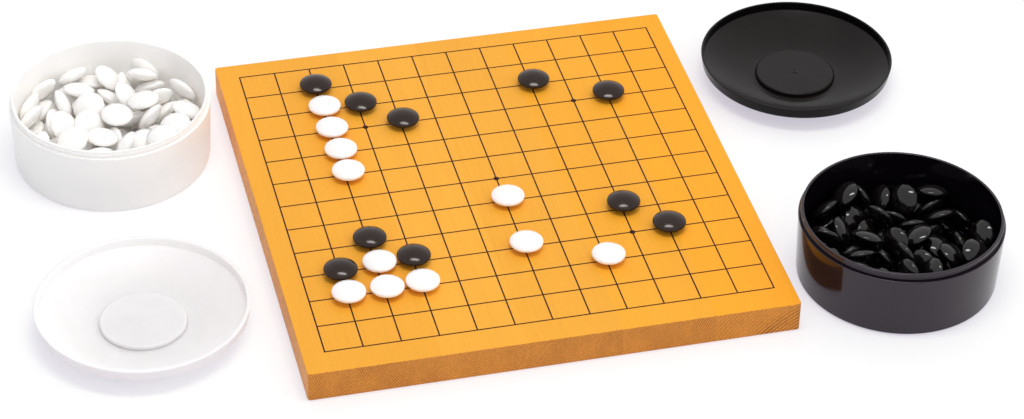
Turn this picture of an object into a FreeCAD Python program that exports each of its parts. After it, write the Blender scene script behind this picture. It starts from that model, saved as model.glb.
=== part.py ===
"""A go set: a 13 by 13 go board glued up from wooden staves, a game in progress on it, and two round
plastic bowls of stones with their lids set down beside it.

The origin is the middle of the board's underside, on the table. +X runs along the board's near edge,
+Y away from the player and +Z up. All sizes are millimetres.
"""

import FreeCAD, Part
import math
import os
import random
import re
from itertools import combinations
from typing import NamedTuple

import Sketcher
from FreeCAD import Placement, Rotation, Vector

DRIVING_SIZES = {
    # board
    "board_thickness": 21.0,
    "stave_1_width": 26.5,
    "stave_2_width": 57.5,
    "stave_3_width": 55.0,
    "stave_4_width": 60.0,
    "stave_5_width": 60.0,
    "stave_6_width": 56.0,
    "margin_left": 14.5,
    "margin_near": 19.0,
    "margin_far": 15.5,
    "board_corner_round": 2.2,
    "board_edge_round": 0.8,
    # painted grid
    "line_count": 13,
    "column_pitch": 24.0,
    "row_pitch": 24.8,
    "star_inset_count": 3,
    "line_width": 0.9,
    "paint_depth": 0.1,
    "star_radius": 1.9,
    # stones
    "stone_radius": 10.9,
    "stone_thickness": 9.0,
    "stone_edge_round": 1.5,
    "stone_clearance": 0.1,
    # bowls
    "bowl_height": 49.0,
    "bowl_base_radius": 64.7,
    "bowl_shoulder_radius": 66.2,
    "bowl_shoulder_round": 0.4,
    "bowl_wall": 3.2,
    "bowl_floor": 2.4,
    "floor_round": 2.0,
    "bowl_base_round": 0.35,
    "foot_height": 3.5,
    "foot_step": 0.4,
    "foot_round": 2.2,
    "foot_ring_width": 8.0,
    "foot_recess": 1.0,
    "lip_step": 1.7,
    "lip_height": 4.8,
    "lip_wall": 1.7,
    "lip_round": 0.4,
    "snap_bead": 0.5,
    "snap_bead_width": 1.2,
    # lids
    "lid_height": 19.0,
    "lid_fit_clearance": 0.4,
    "black_lid_wall": 1.5,
    "white_lid_wall": 2.7,
    "lid_rim_round": 0.4,
    "lid_skirt": 7.5,
    "lid_skirt_draft": 1.2,
    "lid_skirt_round": 2.0,
    "lid_crown_wall": 1.8,
    "lid_crown_arc": 96.0,
    "lid_rest_radius": 31.0,
    "lid_floor_wall": 2.2,
    "lid_recess_radius": 25.6,
    "lid_recess_depth": 2.6,
    "lid_disc_round": 0.8,
    "gate_mark_radius": 1.1,
    "gate_mark_height": 0.3,
    # where the loose pieces stand on the table
    "black_bowl_x": 236.2,
    "black_bowl_y": -124.0,
    "white_bowl_x": -236.0,
    "white_bowl_y": 110.5,
    "black_lid_x": 239.5,
    "black_lid_y": 99.0,
    "white_lid_x": -243.7,
    "white_lid_y": -72.5,
    # stones poured into the bowls
    "black_fill_height": 41.5,
    "black_least_lean": 30.0,
    "black_most_lean": 90.0,
    "white_fill_height": 44.5,
    "white_least_lean": 5.0,
    "white_most_lean": 80.0,
    "pile_clearance": 0.2,
}

STAVE_COUNT = 6

# Each stone of the game: column and row of its point, counted from 0 at the far left corner, and how far
# off that point it was set down, to the right and away from the player.
BLACK_MOVES = [
    (2, 1, 0.0, 0.0),
    (3, 2, 1.5, -2.0),
    (4, 3, 1.5, -1.0),
    (8, 2, 2.0, -0.5),
    (10, 3, 0.5, 0.5),
    (9, 8, 1.5, 2.5),
    (10, 9, 0.5, 0.0),
    (2, 8, 1.0, 0.5),
    (3, 9, 0.5, 1.5),
    (1, 9, 0.5, -2.5),
]
WHITE_MOVES = [
    (2, 2, 1.0, -1.0),
    (2, 3, 1.0, -1.5),
    (2, 4, 2.0, -1.5),
    (2, 5, 2.0, -1.0),
    (6, 7, 1.5, -0.5),
    (6, 9, 1.5, -0.5),
    (2, 9, 2.0, 0.0),
    (3, 10, 0.5, 0.0),
    (2, 10, 1.5, -1.0),
    (1, 10, 1.0, -1.0),
    (8, 10, 1.5, 1.0),
]

doc = FreeCAD.newDocument("go_set")


# ---------------------------------------------------------------- sizes

sheet = doc.addObject("Spreadsheet::Sheet", "Sizes")
for row, (size_name, size) in enumerate(DRIVING_SIZES.items(), start=1):
    sheet.set(f"A{row}", size_name)
    sheet.set(f"B{row}", str(size))
    sheet.setAlias(f"B{row}", size_name)
doc.recompute()


def bound(formula):
    """A formula written in size names, as an expression that reads them from the sheet."""
    return re.sub(r"[a-z][a-z_0-9]*", lambda name: qualified(name.group(0)), formula)


def qualified(name):
    return f"Sizes.{name}" if name in DRIVING_SIZES else name


def value(formula):
    """What a formula comes to now, in millimetres."""
    return float(sheet.evalExpression(formula))


BOARD_WIDTH = " + ".join(f"stave_{n}_width" for n in range(1, STAVE_COUNT + 1))
GRID_WIDTH = "(line_count - 1) * column_pitch"
GRID_DEPTH = "(line_count - 1) * row_pitch"
BOARD_DEPTH = f"margin_near + {GRID_DEPTH} + margin_far"
GRID_LEFT = f"margin_left - ({BOARD_WIDTH}) / 2"
GRID_NEAR = f"margin_near - ({BOARD_DEPTH}) / 2"
PAINT_TOP = "board_thickness + paint_depth"

nodes = []


def finish_node(node, label, x="0", y="0", z="0"):
    """Names a finished piece and binds its place to the sheet."""
    node.Label = label
    node.setExpression("Placement.Base.x", bound(x))
    node.setExpression("Placement.Base.y", bound(y))
    node.setExpression("Placement.Base.z", bound(z))
    nodes.append(node)
    return node


# ---------------------------------------------------------------- sketches


def origin_plane(body, role):
    return next(feature for feature in body.Origin.OriginFeatures if feature.Role == role)


def new_sketch(body, name, role):
    sketch = body.newObject("Sketcher::SketchObject", name)
    sketch.AttachmentSupport = [(origin_plane(body, role), "")]
    sketch.MapMode = "FlatFace"
    return sketch


def pin_point(sketch, geometry, end, x, y):
    """Holds one end of a line or arc at a place written in size names."""
    for axis, formula in (("X", x), ("Y", y)):
        place = value(formula)
        if abs(place) < 1e-9 and formula == "0":
            target = -2 if axis == "X" else -1
            sketch.addConstraint(Sketcher.Constraint("PointOnObject", geometry, end, target))
            continue
        number = sketch.addConstraint(
            Sketcher.Constraint(f"Distance{axis}", -1, 1, geometry, end, place)
        )
        sketch.setExpression(f"Constraints[{number}]", bound(formula))


class Corner(NamedTuple):
    """A corner of an outline, in size names. With a radius, the stretch to the next corner is an arc that
    bulges out of the outline, or into it where it is hollow."""

    x: str
    y: str
    radius: str | None = None
    hollow: bool = False


def pin_radius(sketch, geometry, radius):
    number = sketch.addConstraint(Sketcher.Constraint("Radius", geometry, value(radius)))
    sketch.setExpression(f"Constraints[{number}]", bound(radius))


def outline_sketch(body, name, role, corners):
    """A closed outline, its corners named anticlockwise."""
    sketch = new_sketch(body, name, role)
    places = [Vector(value(corner.x), value(corner.y), 0) for corner in corners]
    ends = []
    for index, corner in enumerate(corners):
        start = places[index]
        end = places[(index + 1) % len(places)]
        if corner.radius:
            sketch.addGeometry(bulging_arc(start, end, value(corner.radius), corner.hollow), False)
        else:
            sketch.addGeometry(Part.LineSegment(start, end), False)
        # A sketch counts an arc's ends anticlockwise, so a hollow arc has them the other way round.
        ends.append((2, 1) if corner.hollow else (1, 2))
    for index, corner in enumerate(corners):
        after = (index + 1) % len(corners)
        joined = Sketcher.Constraint("Coincident", index, ends[index][1], after, ends[after][0])
        sketch.addConstraint(joined)
        pin_point(sketch, index, ends[index][0], corner.x, corner.y)
        if corner.radius:
            pin_radius(sketch, index, corner.radius)
    return sketch


def bulging_arc(start, end, radius, hollow):
    """The short arc from start to end, bulging to the right of the way there, or to the left if hollow."""
    chord = end - start
    side = Vector(chord.y, -chord.x, 0)
    side.normalize()
    rise = radius - math.sqrt(radius**2 - (chord.Length / 2) ** 2)
    middle = (start + end) * 0.5 + side * (-rise if hollow else rise)
    return Part.Arc(start, middle, end)


def rectangle_sketch(body, name, left, near, right, far):
    corners = [Corner(left, near), Corner(right, near), Corner(right, far), Corner(left, far)]
    return outline_sketch(body, name, "XY_Plane", corners)


def pad(body, name, sketch, length):
    feature = body.newObject("PartDesign::Pad", name)
    feature.Profile = sketch
    feature.setExpression("Length", bound(length))
    return feature


def revolve(body, name, sketch):
    feature = body.newObject("PartDesign::Revolution", name)
    feature.Profile = sketch
    feature.ReferenceAxis = (origin_plane(body, "Z_Axis"), [""])
    feature.Angle = 360
    doc.recompute()
    return feature


def round_edges(body, name, wanted, radius):
    """Rounds the edges of the body's newest shape that the test picks."""
    doc.recompute()
    base = body.Tip
    names = [
        f"Edge{number}" for number, edge in enumerate(base.Shape.Edges, start=1) if wanted(edge)
    ]
    feature = body.newObject("PartDesign::Fillet", name)
    feature.Base = (base, names)
    feature.setExpression("Radius", bound(radius))
    doc.recompute()
    return feature


def is_near(a, b):
    return abs(a - b) < 1e-4


# ---------------------------------------------------------------- board


def make_stave(number):
    """One stave of the board, its grain along Y. Its ends are eased, and so is the outer side of the
    first and the last stave, where the board's four upright corners are rounded too."""
    width = f"stave_{number}_width"
    before = " + ".join([f"-({BOARD_WIDTH}) / 2"] + [f"stave_{n}_width" for n in range(1, number)])
    body = doc.addObject("PartDesign::Body", f"Stave{number}")
    half = f"({BOARD_DEPTH}) / 2"
    sketch = rectangle_sketch(body, f"StavePlan{number}", "0", f"-{half}", width, half)
    pad(body, f"StavePad{number}", sketch, "board_thickness")
    outer_side = {1: 0.0, STAVE_COUNT: value(width)}.get(number)
    top = value("board_thickness")
    if outer_side is not None:

        def is_upright_corner(edge):
            box = edge.BoundBox
            return is_near(box.ZLength, top) and is_near(box.Center.x, outer_side)

        round_edges(body, f"StaveCorners{number}", is_upright_corner, "board_corner_round")

    glued_sides = [side for side in (0.0, value(width)) if side != outer_side]

    def is_outer_rim(edge):
        box = edge.BoundBox
        level = box.ZLength < 1e-6 and (is_near(box.ZMin, 0) or is_near(box.ZMin, top))
        glued = box.XLength < 1e-6 and any(is_near(box.XMin, side) for side in glued_sides)
        return level and not glued

    round_edges(body, f"StaveRim{number}", is_outer_rim, "board_edge_round")
    return finish_node(body, f"board_stave_{number}", x=before)


def make_grid_lines():
    """The painted lines and star points, one thin coat of paint on the board: lines across and down, and a
    dot on each of the five star points."""
    coats = []

    def paint_line(name, x, y, length, width):
        line = doc.addObject("Part::Box", name)
        line.setExpression("Length", bound(length))
        line.setExpression("Width", bound(width))
        line.setExpression("Height", bound("paint_depth"))
        line.setExpression("Placement.Base.x", bound(f"{x} - line_width / 2"))
        line.setExpression("Placement.Base.y", bound(f"{y} - line_width / 2"))
        coats.append(line)

    for number in range(round(value("line_count"))):
        column = f"{number} * column_pitch"
        row = f"{number} * row_pitch"
        paint_line(f"Column{number}", column, "0", "line_width", f"{GRID_DEPTH} + line_width")
        paint_line(f"Row{number}", "0", row, f"{GRID_WIDTH} + line_width", "line_width")
    near = "star_inset_count"
    middle = "(line_count - 1) / 2"
    far = "(line_count - 1 - star_inset_count)"
    for across, up in ((near, near), (far, near), (middle, middle), (near, far), (far, far)):
        dot = doc.addObject("Part::Cylinder", "StarDot")
        dot.setExpression("Radius", bound("star_radius"))
        dot.setExpression("Height", bound("paint_depth"))
        dot.setExpression("Placement.Base.x", bound(f"{across} * column_pitch"))
        dot.setExpression("Placement.Base.y", bound(f"{up} * row_pitch"))
        coats.append(dot)
    paint = doc.addObject("Part::MultiFuse", "GridLines")
    paint.Shapes = coats
    paint.Refine = True
    return finish_node(paint, "grid_lines", GRID_LEFT, GRID_NEAR, "board_thickness")


# ---------------------------------------------------------------- stones

# Both faces of a stone are caps of one size of ball, and its rounded edge is tangent to both.
CAP_RADIUS = (
    "((stone_radius - stone_edge_round) ^ 2 + stone_thickness ^ 2 / 4 - stone_edge_round ^ 2)"
    " / (stone_thickness - 2 * stone_edge_round)"
)
CAP_OFFSET = f"({CAP_RADIUS} - stone_thickness / 2)"
EDGE_START = f"(stone_radius - stone_edge_round) * {CAP_RADIUS} / ({CAP_RADIUS} - stone_edge_round)"
EDGE_RISE = f"{CAP_OFFSET} * stone_edge_round / ({CAP_RADIUS} - stone_edge_round)"


def make_stone(label, x, y, z):
    """A double-convex stone lying flat, turned from its profile."""
    body = doc.addObject("PartDesign::Body", f"Stone_{label}")
    corners = [
        Corner("0", "-stone_thickness / 2", CAP_RADIUS),
        Corner(EDGE_START, f"-{EDGE_RISE}", "stone_edge_round"),
        Corner(EDGE_START, EDGE_RISE, CAP_RADIUS),
        Corner("0", "stone_thickness / 2"),
    ]
    sketch = outline_sketch(body, f"Profile_{label}", "XZ_Plane", corners)
    revolve(body, f"Turned_{label}", sketch)
    return finish_node(body, label, x, y, z)


def make_game(colour, moves):
    """The stones on the board, each a hair above the paint of its point."""
    level = f"{PAINT_TOP} + stone_clearance + stone_thickness / 2"
    for number, (column, row, right, away) in enumerate(moves, start=1):
        x = f"{GRID_LEFT} + {column} * column_pitch + {right}"
        y = f"{GRID_NEAR} + (line_count - 1 - {row}) * row_pitch + {away}"
        make_stone(f"{colour}_stone_{number:02d}", x, y, level)


# ---------------------------------------------------------------- bowls and lids

LIP_RADIUS = "(bowl_shoulder_radius - lip_step)"



def ring_test(radius, height):
    """Picks the round edges of this radius at this height."""
    wanted_radius = value(radius)
    wanted_height = value(height)

    def test(edge):
        box = edge.BoundBox
        flat = box.ZLength < 1e-6 and is_near(box.ZMin, wanted_height)
        return flat and is_near(box.XLength / 2, wanted_radius)

    return test


def make_bowl(colour):
    """A round bowl: a drafted wall on a stepped foot ring, and a thinner lip with a snap bead that the
    lid's skirt goes over until it meets the shoulder."""
    body = doc.addObject("PartDesign::Body", f"{colour}Bowl")
    shoulder = "(bowl_height - lip_height)"
    bead = f"({shoulder} + lip_height / 2)"
    foot = "(bowl_base_radius - foot_step)"
    inside = "(bowl_base_radius - bowl_wall)"
    lip_inside = f"{LIP_RADIUS} - lip_wall"
    floor = "(foot_recess + bowl_floor)"
    corners = [
        Corner("0", "foot_recess"),
        Corner(f"{foot} - foot_ring_width", "foot_recess"),
        Corner(f"{foot} - foot_ring_width", "0"),
        Corner(foot, "0"),
        Corner(foot, "foot_height"),
        Corner("bowl_base_radius", "foot_height"),
        Corner("bowl_shoulder_radius", shoulder),
        Corner(LIP_RADIUS, shoulder),
        Corner(LIP_RADIUS, f"{bead} - snap_bead_width / 2"),
        Corner(f"{LIP_RADIUS} + snap_bead", bead),
        Corner(LIP_RADIUS, f"{bead} + snap_bead_width / 2"),
        Corner(LIP_RADIUS, "bowl_height"),
        Corner(lip_inside, "bowl_height"),
        Corner(inside, floor),
        Corner("0", floor),
    ]
    sketch = outline_sketch(body, f"{colour}BowlProfile", "XZ_Plane", corners)
    revolve(body, f"{colour}BowlWall", sketch)
    for name, radius, height, rounding in (
        ("Foot", foot, "0", "foot_round"),
        ("Floor", inside, floor, "floor_round"),
        ("LipOuter", LIP_RADIUS, "bowl_height", "lip_round"),
        ("LipInner", lip_inside, "bowl_height", "lip_round"),
        ("Shoulder", "bowl_shoulder_radius", shoulder, "bowl_shoulder_round"),
        ("Base", "bowl_base_radius", "foot_height", "bowl_base_round"),
    ):
        round_edges(body, f"{colour}Bowl{name}Round", ring_test(radius, height), rounding)
    return finish_node(body, f"{colour}_bowl", f"{colour}_bowl_x", f"{colour}_bowl_y")


def make_lid(colour):
    """A lid lying open side up on the flat of its crown: a skirt that fits over the bowl's lip, a shallow
    domed crown, and a round recess in the crown's outside that stands up inside as a disc."""
    body = doc.addObject("PartDesign::Body", f"{colour}Lid")
    inner = f"({LIP_RADIUS} + lid_fit_clearance)"
    outer = f"({inner} + {colour}_lid_wall)"
    foot = "(lid_height - lid_skirt)"
    disc = "(lid_recess_radius + lid_crown_wall)"
    disc_top = "(lid_recess_depth + lid_floor_wall)"
    corners = [
        Corner("0", "lid_recess_depth"),
        Corner("lid_recess_radius", "lid_recess_depth"),
        Corner("lid_recess_radius", "0"),
        Corner("lid_rest_radius", "0", "lid_crown_arc"),
        Corner(f"{outer} - lid_skirt_draft", foot),
        Corner(outer, "lid_height"),
        Corner(inner, "lid_height"),
        Corner(f"{inner} - lid_skirt_draft / 2", f"{foot} + lid_crown_wall", "lid_crown_arc", True),
        Corner("lid_rest_radius", "lid_floor_wall"),
        Corner(disc, "lid_floor_wall"),
        Corner(disc, disc_top),
        Corner("gate_mark_radius", disc_top),
        Corner("gate_mark_radius", f"{disc_top} + gate_mark_height"),
        Corner("0", f"{disc_top} + gate_mark_height"),
    ]
    sketch = outline_sketch(body, f"{colour}LidProfile", "XZ_Plane", corners)
    revolve(body, f"{colour}LidShell", sketch)
    for name, radius, height, rounding in (
        ("Skirt", f"{outer} - lid_skirt_draft", foot, "lid_skirt_round"),
        ("RimOuter", outer, "lid_height", "lid_rim_round"),
        ("RimInner", inner, "lid_height", "lid_rim_round"),
        ("Disc", disc, disc_top, "lid_disc_round"),
        ("Recess", "lid_recess_radius", "0", "lid_disc_round"),
    ):
        round_edges(body, f"{colour}Lid{name}Round", ring_test(radius, height), rounding)
    return finish_node(body, f"{colour}_lid", f"{colour}_lid_x", f"{colour}_lid_y")


# ---------------------------------------------------------------- stones poured into the bowls

# A stone is what two equal balls share, so two stones touch where four balls share a point: where the
# smallest ball that holds the four middles is no larger than one of the balls.

POURING_TRIES = 120
SETTLING_NUDGES = 80
FIRST_NUDGE = 3.0
NUDGE_DECAY = 0.94
NUDGE_TILT = 0.02
NUDGE_TURN = 0.1
FULL_AFTER_MISSES = 30
LANDING_PRECISION = 0.02
WALL_LOOKS = (-0.8, -0.4, -0.15, 0.0, 0.15, 0.4, 0.8)
ROUND_SLOPES = (0.3, 0.8, 1.3)
UP = Vector(0, 0, 1)


class StoneForm(NamedTuple):
    """The sizes of a stone that pouring needs, grown by half of the gap kept between two stones."""

    cap_radius: float
    cap_offset: float
    rim_radius: float

    def reach(self, axis, direction):
        """How far a stone with this axis reaches from its middle in a direction."""
        slant = abs(axis.dot(direction))
        if slant * self.cap_radius >= self.cap_offset:
            return self.cap_radius - self.cap_offset * slant
        return self.rim_radius * math.sqrt(1 - slant**2)

    def caps(self, middle, axis):
        """The middles of a stone's two balls."""
        return [middle - axis * self.cap_offset, middle + axis * self.cap_offset]


class Hollow(NamedTuple):
    """The inside of a bowl that the grown stones have to stay within."""

    wall_radius: float
    floor: float
    corner_round: float
    fill_height: float


class Lie(NamedTuple):
    """A place for a stone in plan, how far its axis leans from upright and towards which bearing."""

    x: float
    y: float
    lean: float
    bearing: float

    def axis(self):
        flat = math.sin(self.lean)
        across = flat * math.cos(self.bearing)
        return Vector(across, flat * math.sin(self.bearing), math.cos(self.lean))


def ball_middle(points):
    """The middle of the smallest ball through two, three or four points, or None if they lie flat."""
    origin = points[-1]
    spans = [point - origin for point in points[:-1]]
    if len(spans) == 1:
        return origin + spans[0] * 0.5
    if len(spans) == 2:
        first, second = spans
        normal = first.cross(second)
        if normal.Length < 1e-9:
            return None
        toward = second * first.Length**2 - first * second.Length**2
        return origin + toward.cross(normal) / (2 * normal.Length**2)
    first, second, third = spans
    volume = first.dot(second.cross(third))
    if abs(volume) < 1e-9:
        return None
    toward = second.cross(third) * first.Length**2
    toward += third.cross(first) * second.Length**2
    toward += first.cross(second) * third.Length**2
    return origin + toward / (2 * volume)


def smallest_ball(points):
    """The radius of the smallest ball that holds all the points."""
    smallest = math.inf
    for size in (2, 3, 4):
        for group in combinations(points, size):
            middle = ball_middle(group)
            if middle is None:
                continue
            radius = middle.distanceToPoint(group[0])
            if radius < smallest and all(
                middle.distanceToPoint(point) < radius + 1e-6 for point in points
            ):
                smallest = radius
    return smallest


def stones_meet(form, caps, other_caps):
    """Whether two stones, each given by the middles of its two balls, share a point."""
    points = caps + other_caps
    middle = (points[0] + points[1] + points[2] + points[3]) * 0.25
    if all(middle.distanceToPoint(point) <= form.cap_radius for point in points):
        return True
    width = 2 * form.cap_radius
    if any(a.distanceToPoint(b) > width for a in caps for b in other_caps):
        return False
    return smallest_ball(points) <= form.cap_radius


def looks_around(lie):
    """Level directions towards the part of the bowl's wall that is nearest to a stone."""
    bearing = math.atan2(lie.y, lie.x)
    return [Vector(math.cos(bearing + turn), math.sin(bearing + turn), 0) for turn in WALL_LOOKS]


def bed_height(form, hollow, lie):
    """The height of a stone that lies on the bowl's floor, or on the round between floor and wall."""
    axis = lie.axis()
    height = hollow.floor + form.reach(axis, UP)
    level_radius = hollow.wall_radius - hollow.corner_round
    if math.hypot(lie.x, lie.y) + form.rim_radius < level_radius:
        return height
    for out in looks_around(lie):
        for slope in ROUND_SLOPES:
            outward = math.cos(slope)
            downward = math.sin(slope)
            inset = (lie.x * out.x + lie.y * out.y - level_radius) * outward - hollow.corner_round
            overrun = inset + form.reach(axis, out * outward - UP * downward)
            height = max(height, hollow.floor + hollow.corner_round + overrun / downward)
    return height


def landing(form, pile, hollow, lie, give_up):
    """The height at which a stone let down upon the pile is first stopped, or None if that is above the
    height to give up at. The pile's stones come highest first."""
    axis = lie.axis()
    height = bed_height(form, hollow, lie)
    for other, other_caps in pile:
        above = other.z + 2 * form.rim_radius
        if math.hypot(other.x - lie.x, other.y - lie.y) > 2 * form.rim_radius or height > above:
            continue
        low = max(height, other.z)
        if not stones_meet(form, form.caps(Vector(lie.x, lie.y, low), axis), other_caps):
            continue
        high = above
        while high - low > LANDING_PRECISION:
            between = (low + high) / 2
            if stones_meet(form, form.caps(Vector(lie.x, lie.y, between), axis), other_caps):
                low = between
            else:
                high = between
        height = high
        if height > give_up:
            return None
    return height


def is_within_wall(form, hollow, lie):
    """Whether a stone stays inside the bowl's wall."""
    axis = lie.axis()
    return all(
        lie.x * out.x + lie.y * out.y + form.reach(axis, out) <= hollow.wall_radius
        for out in looks_around(lie)
    )


def anywhere(hollow, lean, chance):
    out = hollow.wall_radius * math.sqrt(chance.random())
    bearing = chance.uniform(0, 2 * math.pi)
    turn = chance.uniform(0, 2 * math.pi)
    return Lie(out * math.cos(bearing), out * math.sin(bearing), lean, turn)


def nudged(lie, shift, chance):
    return Lie(
        lie.x + chance.gauss(0, shift),
        lie.y + chance.gauss(0, shift),
        abs(lie.lean + chance.gauss(0, shift * NUDGE_TILT)),
        lie.bearing + chance.gauss(0, shift * NUDGE_TURN),
    )


def lowest_lie(form, pile, hollow, lean, chance):
    """The lowest place for the next stone that some tries and then ever smaller nudges find, and how high
    its middle is there."""
    best = None
    height = math.inf
    shift = FIRST_NUDGE
    for step in range(POURING_TRIES + SETTLING_NUDGES):
        if step < POURING_TRIES or best is None:
            lie = anywhere(hollow, lean, chance)
        else:
            lie = nudged(best, shift, chance)
            shift *= NUDGE_DECAY
        if not is_within_wall(form, hollow, lie):
            continue
        landed = landing(form, pile, hollow, lie, height)
        if landed is not None and landed < height:
            best = lie
            height = landed
    return best, height


def pour(form, hollow, least_lean, most_lean, chance):
    """Lets stones down one by one until no more of them stay under the fill height. Their axes point all
    ways between the two leans alike. Each is given as its middle and those of its two balls."""
    pile = []
    misses = 0
    while misses < FULL_AFTER_MISSES:
        lean = math.acos(chance.uniform(math.cos(most_lean), math.cos(least_lean)))
        lie, height = lowest_lie(form, pile, hollow, lean, chance)
        if lie is None or height + form.reach(lie.axis(), UP) > hollow.fill_height:
            misses += 1
            continue
        middle = Vector(lie.x, lie.y, height)
        pile.append((middle, form.caps(middle, lie.axis())))
        pile.sort(key=lambda stone: -stone[0].z)
    return pile


def make_pile(colour, seed):
    """The stones in one bowl, each a solid of its own, in one node."""
    half_gap = value("pile_clearance") / 2
    cap_radius = value(CAP_RADIUS) + half_gap
    cap_offset = value(CAP_OFFSET)
    form = StoneForm(cap_radius, cap_offset, math.sqrt(cap_radius**2 - cap_offset**2))
    hollow = Hollow(
        min(value("bowl_base_radius - bowl_wall"), value(f"{LIP_RADIUS} - lip_wall")) - half_gap,
        value("foot_recess + bowl_floor") + half_gap,
        value("floor_round"),
        value(f"{colour}_fill_height"),
    )
    leans = [math.radians(value(f"{colour}_{limit}_lean")) for limit in ("least", "most")]
    pile = pour(form, hollow, *leans, random.Random(seed))
    lower = Part.makeSphere(value(CAP_RADIUS), UP * cap_offset)
    upper = Part.makeSphere(value(CAP_RADIUS), UP * -cap_offset)
    stone = lower.common(upper).Solids[0]
    solids = []
    for middle, caps in pile:
        turned = Rotation(UP, caps[1] - caps[0])
        solids.append(stone.transformed(Placement(middle, turned).toMatrix()))
    node = doc.addObject("Part::Feature", f"{colour}Pile")
    node.Shape = Part.makeCompound(solids)
    return finish_node(node, f"{colour}_bowl_stones", f"{colour}_bowl_x", f"{colour}_bowl_y")


for stave_number in range(1, STAVE_COUNT + 1):
    make_stave(stave_number)
make_grid_lines()
make_game("black", BLACK_MOVES)
make_game("white", WHITE_MOVES)
for seed, bowl_colour in enumerate(("black", "white")):
    make_bowl(bowl_colour)
    make_lid(bowl_colour)
    make_pile(bowl_colour, seed)

doc.recompute()
for item in doc.Objects:
    if "Invalid" in item.State or "Error" in item.State:
        raise RuntimeError(f"{item.Label} failed: {item.State}")
for node in nodes:
    if node.Shape.isNull() or not node.Shape.isValid():
        raise RuntimeError(f"{node.Label} has no valid shape")
os.makedirs("parts", exist_ok=True)
for node in nodes:
    node.Shape.exportStep(f"parts/{node.Label}.step")
    print(node.Label, len(node.Shape.Solids), "solids", round(node.Shape.Volume), "mm3")
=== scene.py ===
"""Looks for a go set: a wooden board in play, and two bowls of stones with their lids beside it."""

import math
from collections import namedtuple

import bmesh
import bpy
import numpy as np
from mathutils import Matrix, Vector


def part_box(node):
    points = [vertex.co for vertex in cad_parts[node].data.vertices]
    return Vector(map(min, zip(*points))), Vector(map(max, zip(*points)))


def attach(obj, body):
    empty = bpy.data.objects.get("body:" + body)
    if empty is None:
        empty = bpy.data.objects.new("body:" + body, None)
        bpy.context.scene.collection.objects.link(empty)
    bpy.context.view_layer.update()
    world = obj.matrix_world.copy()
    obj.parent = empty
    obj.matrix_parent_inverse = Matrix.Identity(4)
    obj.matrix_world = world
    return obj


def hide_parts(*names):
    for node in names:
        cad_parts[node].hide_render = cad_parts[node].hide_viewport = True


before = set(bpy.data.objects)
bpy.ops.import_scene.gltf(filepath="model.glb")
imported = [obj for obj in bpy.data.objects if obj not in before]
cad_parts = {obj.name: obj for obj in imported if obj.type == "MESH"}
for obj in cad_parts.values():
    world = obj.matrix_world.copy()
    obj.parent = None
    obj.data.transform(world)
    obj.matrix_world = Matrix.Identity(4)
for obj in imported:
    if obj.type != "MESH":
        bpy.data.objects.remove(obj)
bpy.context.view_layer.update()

MM = 0.001


# ---------------------------------------------------------------- node graphs


def linear(red, green, blue):
    """A display colour, 0 to 255, as the shader's linear colour."""
    parts = [value / 255 for value in (red, green, blue)]
    return tuple(
        part / 12.92 if part <= 0.04045 else ((part + 0.055) / 1.055) ** 2.4 for part in parts
    ) + (1.0,)


def grey(value):
    return (value, value, value, 1.0)


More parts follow.
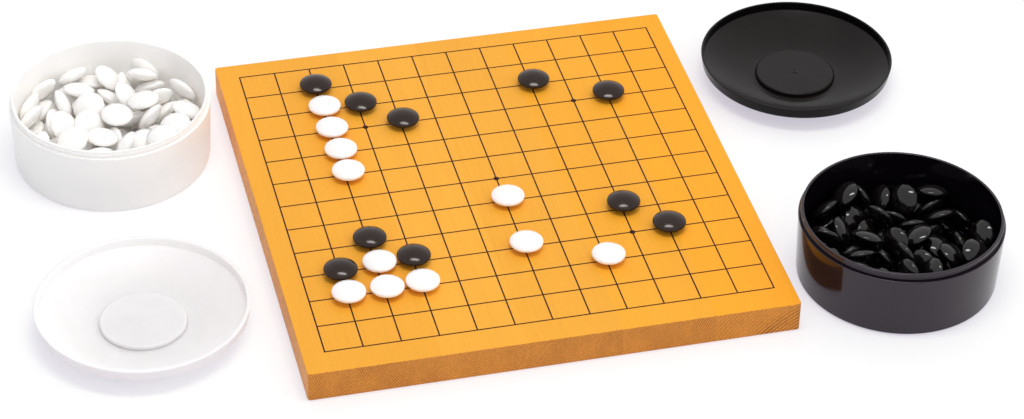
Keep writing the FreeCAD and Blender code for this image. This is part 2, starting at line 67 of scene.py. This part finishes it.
class Graph:
    """A node tree that is filled node by node."""

    def __init__(self, tree):
        self.tree = tree
        tree.nodes.clear()

    def add(self, kind, inputs=None, **settings):
        """Adds a node. An input is given a value, or linked when it is given another node's output."""
        made = self.tree.nodes.new(kind)
        for name, value in settings.items():
            setattr(made, name, value)
        for name, value in (inputs or {}).items():
            if isinstance(value, bpy.types.NodeSocket):
                self.tree.links.new(value, made.inputs[name])
            else:
                made.inputs[name].default_value = value
        return made

    def connect(self, shader, **sources):
        """Links each source to the shader's input of that name, with spaces for underscores."""
        for name, source in sources.items():
            self.tree.links.new(source, shader.inputs[name.replace("_", " ")])

    def math(self, operation, *values):
        return self.add("ShaderNodeMath", dict(enumerate(values)), operation=operation).outputs[0]

    def highest(self, first, *others):
        for other in others:
            first = self.math("MAXIMUM", first, other)
        return first

    def mix(self, factor, first, second, blend="MIX"):
        """Two colours mixed: they are the node's inputs 6 and 7, and the result is its output 2."""
        inputs = {0: factor, 6: first, 7: second}
        return self.add("ShaderNodeMix", inputs, data_type="RGBA", blend_type=blend).outputs[2]

    def ramp(self, factor, stops):
        node = self.add("ShaderNodeValToRGB", {"Fac": factor})
        elements = node.color_ramp.elements
        while len(elements) < len(stops):
            elements.new(0.5)
        for element, (position, colour) in zip(elements, stops):
            element.position = position
            element.color = colour
        return node.outputs["Color"]

    def place(self, offset=(0, 0, 0), turn=(0, 0, 0), stretch=(1, 1, 1)):
        """Object coordinates in metres, stretched, turned and then moved."""
        source = self.add("ShaderNodeTexCoord").outputs["Object"]
        inputs = {"Vector": source, "Location": offset, "Rotation": turn, "Scale": stretch}
        return self.add("ShaderNodeMapping", inputs).outputs["Vector"]

    def facing(self):
        """Which way the surface faces, in the object's own axes."""
        return self.add("ShaderNodeTexCoord").outputs["Normal"]

    def noise(self, vector, scale, detail=2.0, roughness=0.5, distortion=0.0):
        inputs = {
            "Vector": vector,
            "Scale": scale,
            "Detail": detail,
            "Roughness": roughness,
            "Distortion": distortion,
        }
        return self.add("ShaderNodeTexNoise", inputs).outputs["Fac"]

    def spread(self, value, low, high, to_low=0.0, to_high=1.0):
        """Takes low to to_low and high to to_high, and goes no further beyond them."""
        inputs = {"Value": value, 1: low, 2: high, 3: to_low, 4: to_high}
        return self.add("ShaderNodeMapRange", inputs, clamp=True).outputs[0]

    def distance(self, vector):
        return self.add("ShaderNodeVectorMath", {0: vector}, operation="LENGTH").outputs["Value"]

    def along(self, vector, axis):
        """How much of a vector lies along an axis."""
        inputs = {0: vector, 1: axis}
        return self.add("ShaderNodeVectorMath", inputs, operation="DOT_PRODUCT").outputs["Value"]

    def bump(self, height, depth, strength=1.0, under=None):
        inputs = {"Height": height, "Distance": depth, "Strength": strength}
        if under is not None:
            inputs["Normal"] = under
        return self.add("ShaderNodeBump", inputs).outputs["Normal"]


def surface(name, constants):
    """A new material with a Principled shader, whose constant sockets are set directly."""
    material = bpy.data.materials.new(name)
    material.use_nodes = True
    graph = Graph(material.node_tree)
    shader = graph.add("ShaderNodeBsdfPrincipled", constants)
    graph.add("ShaderNodeOutputMaterial", {"Surface": shader.outputs["BSDF"]})
    return material, graph, shader


def dress(node, material):
    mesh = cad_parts[node].data
    mesh.materials.clear()
    mesh.materials.append(material)


# Most of a noise's values lie between these.
NOISE_LOW, NOISE_HIGH = 0.3, 0.7


# ---------------------------------------------------------------- wood and paint

# Each stave was cut from its own place in a log.
#   across, up  where the log's heart was, from the middle of the stave's underside, in mm
#   ring        how wide a growth ring is, in mm
#   contrast    how dark the late wood is
#   reach       how far from the heart the dark rings go, in mm
#   tone        the stave's own shade
#   top         its colour under the varnish
Stave = namedtuple("Stave", "across up ring contrast reach tone top")
STAVES = {
    1: Stave(112.0, 58.0, 1.35, 0.60, 400.0, 0.985, linear(236, 165, 50)),
    2: Stave(78.0, 60.0, 1.4, 0.66, 400.0, 0.99, linear(236, 165, 50)),
    3: Stave(20.0, 72.0, 1.35, 0.55, 400.0, 1.01, linear(237, 167, 54)),
    4: Stave(-34.0, 58.0, 1.45, 0.66, 400.0, 1.0, linear(235, 165, 51)),
    5: Stave(-92.0, 66.0, 1.4, 0.62, 400.0, 1.0, linear(238, 165, 44)),
    6: Stave(58.5, -51.0, 2.4, 1.00, 75.0, 1.0, linear(247, 164, 34)),
}
END_GRAIN = linear(216, 142, 61)
SIDE_GRAIN = linear(243, 173, 108)
LATE_WOOD = linear(104, 48, 14)
WOOD_GLOSS = {"Specular IOR Level": 0.2, "IOR": 1.45}
SAWN_ROUGH, VARNISHED_ROUGH = 0.62, 0.42
SAWN_GRIT, VARNISHED_GRIT = 0.20, 0.018
RINGS_UNDER_VARNISH = 0.03
GRAIN_DEPTH = 0.04 * MM

# The wave texture repeats after this length at a scale of 1.
WAVE_PERIOD = math.pi / 10
# How a log leans, in radians, and how far along it one stave lies from the next, in metres.
LOG_LEAN, LOG_STEP = (0.02, 0, 0.012), 0.37
# The dark rings fade out over this many mm, to this share of their strength.
RING_FADE, RINGS_BEYOND_REACH = 5.0, 0.35
# From early wood through the dark late wood to the next ring.
RING_TONES = [(0.0, grey(0)), (0.35, grey(0.05)), (0.75, grey(1)), (0.92, grey(0.9)), (1.0, grey(0))]

# How many features of each pattern there are in a metre across the grain.
FIBRES, PORES, STREAKS, PATCHES, CLOUDS = 1500, 760, 140, 75, 18
# A face counts as the top or an end from the first of these on, and wholly from the second.
FACE_FROM, FACE_FULL = 0.5, 0.8

LINE_BROWN, WORN_LINE_BROWN = linear(38, 8, 8), linear(74, 26, 18)


def growth_rings(graph, number, heart):
    """Dark late wood in rings about a log's heart, which leans and wanders a little."""
    trunk = graph.place((-heart.x, number * LOG_STEP, -heart.z), LOG_LEAN, (1, 0.12, 1))
    waves = {
        "Vector": trunk,
        "Scale": WAVE_PERIOD / (STAVES[number].ring * MM),
        "Distortion": 3.0,
        "Detail": 3.0,
        "Detail Scale": 0.12,
        "Detail Roughness": 0.6,
    }
    kind = {"wave_type": "RINGS", "rings_direction": "Y", "wave_profile": "SAW"}
    return graph.ramp(graph.add("ShaderNodeTexWave", waves, **kind).outputs["Fac"], RING_TONES)


def ring_strength(graph, number, heart, top):
    """How strongly the rings show: in patches, near the heart, and far less under the varnish."""
    stave = STAVES[number]
    patches = graph.noise(graph.place((0, number, number), stretch=(1, 0.2, 0.6)), PATCHES)
    from_heart = graph.distance(graph.place((-heart.x, 0, -heart.z), stretch=(1, 0, 1)))
    reach = stave.reach * MM
    reached = graph.spread(from_heart, reach, reach + RING_FADE * MM, 1.0, RINGS_BEYOND_REACH)
    strength = graph.math("MULTIPLY", graph.spread(patches, 0.36, 0.60, 0.45, 1.0), reached)
    contrast = graph.spread(top, 0, 1, stave.contrast, RINGS_UNDER_VARNISH)
    return graph.math("MULTIPLY", strength, contrast)


def wood_shade(graph, number, top, fibres, pores):
    """Light and dark of the cut: fine fibres, cloudy stretches, and the grit of a sawn face."""
    tone = STAVES[number].tone
    clouds = graph.noise(graph.place((number, 0, 0), stretch=(1, 0.4, 1)), CLOUDS)
    grit = graph.spread(top, 0, 1, SAWN_GRIT, VARNISHED_GRIT)
    speck = graph.math("MULTIPLY", graph.spread(pores, NOISE_LOW, NOISE_HIGH, -1.0, 1.0), grit)
    shade = graph.math(
        "MULTIPLY",
        graph.spread(fibres, NOISE_LOW, NOISE_HIGH, 0.97, 1.03),
        graph.spread(clouds, NOISE_LOW, NOISE_HIGH, tone * 0.975, tone * 1.02),
    )
    shade = graph.math("ADD", shade, speck)
    return graph.add("ShaderNodeCombineColor", {0: shade, 1: shade, 2: shade}).outputs[0]


def stave_wood(number):
    """Solid softwood: growth rings about the log's heart, fine fibres along it, and a varnished top."""
    stave = STAVES[number]
    low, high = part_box(f"board_stave_{number}")
    heart = Vector(((low.x + high.x) / 2 + stave.across * MM, 0, stave.up * MM))
    material, graph, shader = surface(f"stave_{number}_wood", WOOD_GLOSS)
    fibres = graph.noise(graph.place(stretch=(1, 0.02, 1)), FIBRES, 3.0, 0.6)
    pores = graph.noise(graph.place((0, number, 0), stretch=(1, 0.3, 1)), PORES, 3.0, 0.65)
    streaks = graph.noise(graph.place((0, number, 0), stretch=(1, 0.05, 1)), STREAKS, 3.0, 0.55)

    facing = graph.add("ShaderNodeSeparateXYZ", {0: graph.facing()}).outputs
    chips = graph.spread(pores, 0.35, 0.65, -0.16, 0.16)
    top = graph.spread(graph.math("ADD", facing["Z"], chips), FACE_FROM, FACE_FULL)
    end = graph.spread(graph.math("ABSOLUTE", facing["Y"]), FACE_FROM, FACE_FULL)
    pale = graph.mix(top, graph.mix(end, SIDE_GRAIN, END_GRAIN), stave.top)
    deep = graph.mix(0.85, pale, LATE_WOOD)

    late = growth_rings(graph, number, heart)
    strength = ring_strength(graph, number, heart, top)
    colour = graph.mix(graph.math("MULTIPLY", late, strength), pale, deep)
    streaked = graph.mix(0.10, colour, LATE_WOOD)
    colour = graph.mix(graph.spread(streaks, 0.35, 0.7, 0.0, 0.3), colour, streaked)
    colour = graph.mix(1.0, colour, wood_shade(graph, number, top, fibres, pores), "MULTIPLY")

    smoothness = graph.math("ADD", top, streaks)
    roughness = graph.spread(smoothness, 0.3, 1.7, SAWN_ROUGH, VARNISHED_ROUGH)
    relief = graph.math("ADD", graph.math("MULTIPLY", late, 0.5), fibres)
    normal = graph.bump(relief, GRAIN_DEPTH, 0.4)
    graph.connect(shader, Base_Color=colour, Roughness=roughness, Normal=normal)
    return material


def line_paint():
    """Dark brown lacquer, drawn a little unevenly over the wood's grain."""
    material, graph, shader = surface("line_lacquer", {"IOR": 1.5, "Specular IOR Level": 0.15})
    wear = graph.noise(graph.place(stretch=(1, 0.2, 1)), 900)
    flow = graph.noise(graph.place(), 160)
    colour = graph.mix(graph.spread(wear, 0.45, 0.8), LINE_BROWN, WORN_LINE_BROWN)
    roughness = graph.spread(flow, NOISE_LOW, NOISE_HIGH, 0.35, 0.55)
    graph.connect(shader, Base_Color=colour, Roughness=roughness)
    return material


# ---------------------------------------------------------------- glass

# Each black glass: its colour from dark to light, how smooth to how rough it is, and its shader's
# constants. The stones in play get a lighter, browner and rougher copy of the glass, with a warm gloss,
# as painted warm light from the board under them.
BlackGlass = namedtuple("BlackGlass", "name dark light smooth rough constants")
PLAYED_BLACK = BlackGlass(
    name="black_glass_warm_lit",
    # Painted warm light: a lighter, browner base colour and a warm gloss tint stand for the board's
    # light on the stones in play.
    dark=linear(30, 17, 12),
    light=linear(37, 23, 16),
    smooth=0.10,
    rough=0.17,
    constants={"IOR": 1.52, "Specular IOR Level": 0.32, "Specular Tint": (1.0, 0.95, 0.93, 1.0)},
)
POURED_BLACK = BlackGlass(
    name="black_glass_gloss",
    dark=linear(10, 8, 8),
    light=linear(15, 12, 11),
    smooth=0.05,
    rough=0.10,
    constants={"IOR": 1.52, "Specular IOR Level": 0.40},
)
DUST_DEPTH = 0.01 * MM

MILKY = {
    "IOR": 1.5,
    "Subsurface Weight": 0.6,
    "Subsurface Radius": (0.005, 0.0046, 0.0041),
    "Subsurface Scale": 1.0,
    "Coat Weight": 0.3,
    "Coat Roughness": 0.08,
}
MILK_WHITE, SHELL_WHITE = linear(250, 248, 245), linear(254, 252, 249)


def black_glass(glass):
    """Opaque black glass, faintly clouded, with fine dust in its gloss."""
    material, graph, shader = surface(glass.name, glass.constants)
    clouds = graph.noise(graph.place(), 260)
    dust = graph.noise(graph.place(), 2600)
    colour = graph.mix(clouds, glass.dark, glass.light)
    dull = graph.math("MULTIPLY", clouds, dust)
    roughness = graph.spread(dull, 0.1, 0.4, glass.smooth, glass.rough)
    normal = graph.bump(dust, DUST_DEPTH, 0.3)
    graph.connect(shader, Base_Color=colour, Roughness=roughness, Normal=normal)
    return material


def white_glass():
    """Milky glass that light goes a little way into."""
    material, graph, shader = surface("white_glass_gloss", MILKY)
    clouds = graph.noise(graph.place(), 120, 3.0)
    fine = graph.noise(graph.place(), 1800)
    colour = graph.mix(graph.spread(clouds, 0.35, 0.65), MILK_WHITE, SHELL_WHITE)
    roughness = graph.spread(fine, NOISE_LOW, NOISE_HIGH, 0.22, 0.30)
    graph.connect(shader, Base_Color=colour, Roughness=roughness)
    return material


# ---------------------------------------------------------------- moulded plastic

# The plastic of each bowl and lid: its colour from dark to light, the painted light and shade on its
# inner and on its outer wall, how smooth to how rough it is, and its shader's other constants. The black
# bowl's colour and gloss lean to violet, a painted reflection of the lavender table.
Plastic = namedtuple("Plastic", "name dark light inside outside smooth rough constants")
PLASTICS = {
    "black_bowl": Plastic(
        name="black_moulded_gloss",
        # Its base colours and its gloss lean to violet, a painted reflection of the lavender shade on
        # the table.
        dark=linear(13, 8, 14),
        light=linear(17, 11, 19),
        inside=linear(13, 8, 14),
        outside=linear(17, 10, 19),
        smooth=0.07,
        rough=0.12,
        constants={"Specular IOR Level": 0.56, "Specular Tint": (1.0, 0.88, 1.0, 1.0)},
    ),
    "black_lid": Plastic(
        name="black_moulded_satin",
        dark=linear(21, 17, 16),
        light=linear(27, 23, 22),
        inside=linear(10, 8, 8),
        outside=linear(5, 3, 6),
        smooth=0.18,
        rough=0.26,
        constants={"Specular IOR Level": 0.16},
    ),
    "white_bowl": Plastic(
        name="white_moulded_shell",
        dark=linear(250, 248, 246),
        light=linear(253, 251, 249),
        inside=linear(255, 254, 252),
        outside=linear(252, 251, 249),
        smooth=0.30,
        rough=0.40,
        constants={
            "Subsurface Weight": 0.7,
            "Subsurface Radius": (0.005, 0.0048, 0.0046),
            "Subsurface Scale": 1.0,
        },
    ),
    "white_lid": Plastic(
        name="white_moulded_satin",
        dark=linear(231, 229, 230),
        light=linear(236, 234, 235),
        inside=linear(253, 251, 251),
        outside=linear(226, 222, 226),
        smooth=0.35,
        rough=0.45,
        constants={
            "Subsurface Weight": 0.9,
            "Subsurface Radius": (0.006, 0.006, 0.006),
            "Subsurface Scale": 1.0,
        },
    ),
}
PLASTIC_IOR = 1.49
MOULD_GRAIN_DEPTH = 0.014 * MM

LID_DISC_EDGE = 27.1 * MM
# Further out than this, what faces outwards is the outer wall, and not the side of a lid's disc.
OUTER_WALL_FROM = 1.5 * LID_DISC_EDGE
# Painted shade darkens a thin line round the disc's edge, where a groove bump also lies, up to the first
# distance from its middle, and both are gone at the second.
EDGE_SHADE, EDGE_SHADE_END = 0.15 * MM, 0.6 * MM
GROOVE, GROOVE_END, GROOVE_DEPTH = 0.1 * MM, 0.7 * MM, 0.35 * MM
MOUND_TOP, MOUND_FOOT, MOUND_HEIGHT = 0.6 * MM, 2.6 * MM, 0.5 * MM


def lid_edge_shade_and_mound(graph, radius, dark, colour, normal):
    """Painted shade as a dark line round a lid's disc, over a groove bump, and the soft mound where the
    plastic came in.
    """
    off_line = graph.math("ABSOLUTE", graph.math("SUBTRACT", radius, LID_DISC_EDGE))
    # Painted shade: a thin dark line on the edge of the disc, where its step lies in shade.
    line = graph.spread(off_line, EDGE_SHADE, EDGE_SHADE_END, 1.0, 0.0)
    colour = graph.mix(line, colour, graph.mix(0.12, dark, grey(0.0)))
    normal = graph.bump(graph.spread(off_line, GROOVE, GROOVE_END), GROOVE_DEPTH, under=normal)
    mound = graph.math("SMOOTH_MIN", graph.spread(radius, MOUND_TOP, MOUND_FOOT, 1.0, 0.0), 0.8, 0.3)
    return colour, graph.bump(mound, MOUND_HEIGHT, under=normal)


def moulded_plastic(node):
    """The plastic of a bowl or lid: a faint flow pattern in its colour, a fine unevenness in its gloss,
    and painted light and shade on the inner and the outer wall."""
    plastic = PLASTICS[node]
    material, graph, shader = surface(plastic.name, {"IOR": PLASTIC_IOR, **plastic.constants})
    low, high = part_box(node)
    spoke = graph.place((-(low.x + high.x) / 2, -(low.y + high.y) / 2, 0), stretch=(1, 1, 0))
    radius = graph.distance(spoke)
    direction = graph.add("ShaderNodeVectorMath", {0: spoke}, operation="NORMALIZE").outputs["Vector"]
    outward = graph.along(direction, graph.facing())
    flow = graph.noise(graph.place(stretch=(1, 1, 2.5)), 35, 3.0, 0.5, 0.6)
    grain = graph.noise(graph.place(), 2200, 3.0, 0.6)
    colour = graph.mix(graph.spread(flow, NOISE_LOW, NOISE_HIGH), plastic.dark, plastic.light)
    # Painted light and shade: faces turned inwards take the inner tone, lighter in the white pieces and
    # darker in the black lid.
    colour = graph.mix(graph.spread(outward, -0.6, -0.9), colour, plastic.inside)
    # Painted shade: the outer wall, where it faces outwards, takes the outer tone, darker on both lids.
    far_out = graph.math("GREATER_THAN", radius, OUTER_WALL_FROM)
    outer_shading_mask = graph.math("MULTIPLY", graph.spread(outward, 0.5, 0.9), far_out)
    colour = graph.mix(outer_shading_mask, colour, plastic.outside)
    normal = graph.bump(grain, MOULD_GRAIN_DEPTH, 0.4)
    if node.endswith("lid"):
        colour, normal = lid_edge_shade_and_mound(graph, radius, plastic.dark, colour, normal)
    roughness = graph.spread(grain, NOISE_LOW, NOISE_HIGH, plastic.smooth, plastic.rough)
    graph.connect(shader, Base_Color=colour, Roughness=roughness, Normal=normal)
    return material


# ---------------------------------------------------------------- poured stones

STONE_RADIUS, STONE_HALF, STONE_EDGE = 10.9 * MM, 4.5 * MM, 1.5 * MM
# A poured stone has few faces, because there are so many of them. The shares say how far along its
# face, from the middle to the rounded edge, the outline has a point.
STEPS_AROUND = 14
OUTLINE_SHARES = (0.0, 0.6, 1.0)
SAME_POINT = 1e-6


def lens_profile():
    """From the middle of the upper face down over the rounded edge to the middle of the lower face."""
    flat = STONE_RADIUS - STONE_EDGE
    cap = (flat**2 + STONE_HALF**2 - STONE_EDGE**2) / (2 * (STONE_HALF - STONE_EDGE))
    tilt = math.asin(flat / (cap - STONE_EDGE))
    upper = []
    for share in OUTLINE_SHARES:
        lean = share * tilt
        upper.append(Vector((cap * math.sin(lean), 0, cap * math.cos(lean) - cap + STONE_HALF)))
    rim = Vector((STONE_RADIUS, 0, 0))
    return upper + [rim] + [Vector((point.x, 0, -point.z)) for point in reversed(upper)]


def one_stone():
    """The mesh of one stone, lying flat with its middle at the origin."""
    bm = bmesh.new()
    verts = [bm.verts.new(point) for point in lens_profile()]
    edges = [bm.edges.new(pair) for pair in zip(verts, verts[1:])]
    bmesh.ops.spin(
        bm,
        geom=verts + edges,
        axis=(0, 0, 1),
        cent=(0, 0, 0),
        angle=2 * math.pi,
        steps=STEPS_AROUND,
        use_merge=True,
    )
    bmesh.ops.remove_doubles(bm, verts=bm.verts, dist=SAME_POINT)
    bmesh.ops.recalc_face_normals(bm, faces=bm.faces)
    mesh = bpy.data.meshes.new("one_stone")
    bm.to_mesh(mesh)
    bm.free()
    return mesh


def closed_shells(bm):
    """The faces of one closed shell after another."""
    seen = set()
    for start in bm.verts:
        if start.index in seen:
            continue
        seen.add(start.index)
        shell, faces = [start], set()
        for vert in shell:
            faces.update(vert.link_faces)
            for edge in vert.link_edges:
                other = edge.other_vert(vert)
                if other.index not in seen:
                    seen.add(other.index)
                    shell.append(other)
        yield faces


def stone_lies(node):
    """The middle and the axis of each stone in a bowl's pile, from the node's own closed shells."""
    bm = bmesh.new()
    bm.from_mesh(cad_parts[node].data)
    bmesh.ops.remove_doubles(bm, verts=bm.verts, dist=SAME_POINT)
    bm.verts.ensure_lookup_table()
    lies = []
    for faces in closed_shells(bm):
        centres = np.array([face.calc_center_median() for face in faces])
        areas = np.array([face.calc_area() for face in faces])
        middle = (centres * areas[:, None]).sum(0) / areas.sum()
        spread = (centres - middle) * np.sqrt(areas)[:, None]
        axis = np.linalg.eigh(spread.T @ spread)[1][:, 0]
        lies.append((Vector(middle), Vector(axis)))
    bm.free()
    return lies


def poured_stones(colour, material):
    """All the stones in one bowl as one piece."""
    node = f"{colour}_bowl_stones"
    stone = one_stone()
    pile = bmesh.new()
    for middle, axis in stone_lies(node):
        first = len(pile.verts)
        pile.from_mesh(stone)
        pile.verts.ensure_lookup_table()
        turn = Vector((0, 0, 1)).rotation_difference(axis).to_matrix().to_4x4()
        bmesh.ops.transform(pile, matrix=Matrix.Translation(middle) @ turn, verts=pile.verts[first:])
    for face in pile.faces:
        face.smooth = True
    mesh = bpy.data.meshes.new(f"{colour}_poured_stones")
    pile.to_mesh(mesh)
    pile.free()
    bpy.data.meshes.remove(stone)
    piece = bpy.data.objects.new(f"{colour}_poured_stones", mesh)
    bpy.context.scene.collection.objects.link(piece)
    mesh.materials.append(material)
    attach(piece, f"{colour}_bowl_stones")
    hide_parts(node)


# ---------------------------------------------------------------- dressing the set


def dress_set():
    for number in STAVES:
        dress(f"board_stave_{number}", stave_wood(number))
    dress("grid_lines", line_paint())
    for node in PLASTICS:
        dress(node, moulded_plastic(node))
    glass = {"black": black_glass(PLAYED_BLACK), "white": white_glass()}
    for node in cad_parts:
        if "_stone_" in node:
            dress(node, glass[node.split("_")[0]])
    poured_stones("black", black_glass(POURED_BLACK))
    poured_stones("white", glass["white"])


# ---------------------------------------------------------------- studio

TABLE_REACH = 30.0
TABLE_DROP = 0.1 * MM
TABLE_PALE = (0.90, 0.90, 0.91, 1)
# Half of the white that is seen is lit, so that it keeps the shadows, and half is the table's own light.
TABLE_LIT, TABLE_GLOW = (0.45, 0.475, 0.405, 1), (0.525, 0.50, 0.58, 1)
WHITE = (1, 1, 1, 1)

# Where the room's light comes from, and its colour from the dim side to the bright one.
BRIGHT_SIDE = (0.85, -0.05, 0.42)
DIM_FROM, BRIGHT_FROM = -0.85, 0.6
ROOM_LIGHT = [(0.0, (0.25, 0.25, 0.30, 1)), (1.0, (1.07, 1.06, 1.05, 1))]

SOFTBOX_PLACE, SOFTBOX_TURN = (0.05, -0.16, 1.7), -14.6
SOFTBOX_SIZE = (1.00, 0.28)
SOFTBOX_POWER = 10.1
SOFTBOX_COLOUR = (1.0, 0.98, 0.95)

IMAGE_WIDTH, IMAGE_HEIGHT = 1024, 419
# The pixel that the lens points at.
AIM_X, AIM_Y = 561.45, 210.03
SENSOR_WIDTH, FOCAL_LENGTH = 36.0, 112.70
CAMERA_PLACE = (-0.41580, -1.62773, 1.28430)
CAMERA_TURN = (52.5433, -1.6406, -14.5717)
SEES_TO = 100


def seen(graph):
    """1 for what shows in the picture: straight, in gloss or through something clear."""
    path = graph.add("ShaderNodeLightPath").outputs
    return graph.highest(path["Is Camera Ray"], path["Is Glossy Ray"], path["Is Transmission Ray"])


def table_white():
    """White where it is seen, and plainly pale for all other light."""
    material = bpy.data.materials.new("table_white")
    material.use_nodes = True
    graph = Graph(material.node_tree)
    pale = graph.add("ShaderNodeBsdfDiffuse", {"Color": TABLE_PALE, "Roughness": 0.0}).outputs[0]
    lit = graph.add("ShaderNodeBsdfDiffuse", {"Color": TABLE_LIT, "Roughness": 0.0}).outputs[0]
    glow = graph.add("ShaderNodeEmission", {"Color": TABLE_GLOW, "Strength": 1.0}).outputs[0]
    white = graph.add("ShaderNodeAddShader", {0: lit, 1: glow}).outputs[0]
    mixed = graph.add("ShaderNodeMixShader", {0: seen(graph), 1: pale, 2: white}).outputs[0]
    graph.add("ShaderNodeOutputMaterial", {"Surface": mixed})
    return material


def table_top():
    """A pale table top, far larger than the set and a hair below it."""
    bm = bmesh.new()
    bmesh.ops.create_grid(bm, x_segments=1, y_segments=1, size=TABLE_REACH)
    mesh = bpy.data.meshes.new("table_top")
    bm.to_mesh(mesh)
    bm.free()
    mesh.materials.append(table_white())
    top = bpy.data.objects.new("table_top", mesh)
    bpy.context.scene.collection.objects.link(top)
    top.location.z = -TABLE_DROP


def studio_world():
    """White where it is seen. As light it is stronger from the right than from the left."""
    world = bpy.data.worlds.new("studio")
    bpy.context.scene.world = world
    world.use_nodes = True
    graph = Graph(world.node_tree)
    direction = graph.add("ShaderNodeTexCoord").outputs["Generated"]
    to_right = graph.spread(graph.along(direction, BRIGHT_SIDE), DIM_FROM, BRIGHT_FROM)
    tone = graph.ramp(to_right, ROOM_LIGHT)
    light = graph.add("ShaderNodeBackground", {"Color": tone, "Strength": 1.0}).outputs[0]
    white = graph.add("ShaderNodeBackground", {"Color": WHITE, "Strength": 1.0}).outputs[0]
    mixed = graph.add("ShaderNodeMixShader", {0: seen(graph), 1: light, 2: white}).outputs[0]
    graph.add("ShaderNodeOutputWorld", {"Surface": mixed})


def overhead_softbox():
    """An oval lamp that looks straight down, turned until its long side runs across the view."""
    light = bpy.data.lights.new("overhead_softbox", "AREA")
    light.shape = "ELLIPSE"
    light.size, light.size_y = SOFTBOX_SIZE
    light.energy = SOFTBOX_POWER
    light.color = SOFTBOX_COLOUR
    lamp = bpy.data.objects.new("overhead_softbox", light)
    bpy.context.scene.collection.objects.link(lamp)
    lamp.location = SOFTBOX_PLACE
    lamp.rotation_euler.z = math.radians(SOFTBOX_TURN)


def camera():
    """A long lens that is shifted, because what it points at isn't the middle of the image."""
    lens = bpy.data.cameras.new("camera")
    lens.sensor_width = SENSOR_WIDTH
    lens.lens = FOCAL_LENGTH
    lens.shift_x = (IMAGE_WIDTH / 2 - AIM_X) / IMAGE_WIDTH
    lens.shift_y = (AIM_Y - IMAGE_HEIGHT / 2) / IMAGE_WIDTH
    lens.clip_end = SEES_TO
    eye = bpy.data.objects.new("camera", lens)
    bpy.context.scene.collection.objects.link(eye)
    eye.location = CAMERA_PLACE
    eye.rotation_euler = [math.radians(angle) for angle in CAMERA_TURN]
    bpy.context.scene.camera = eye


def render_settings():
    """Plain colours, and enough bounces for light to fill the white bowl."""
    bpy.context.scene.view_settings.view_transform = "Standard"
    bpy.context.scene.cycles.max_bounces = 16
    bpy.context.scene.cycles.diffuse_bounces = 10


camera()
dress_set()
table_top()
studio_world()
overhead_softbox()
render_settings()
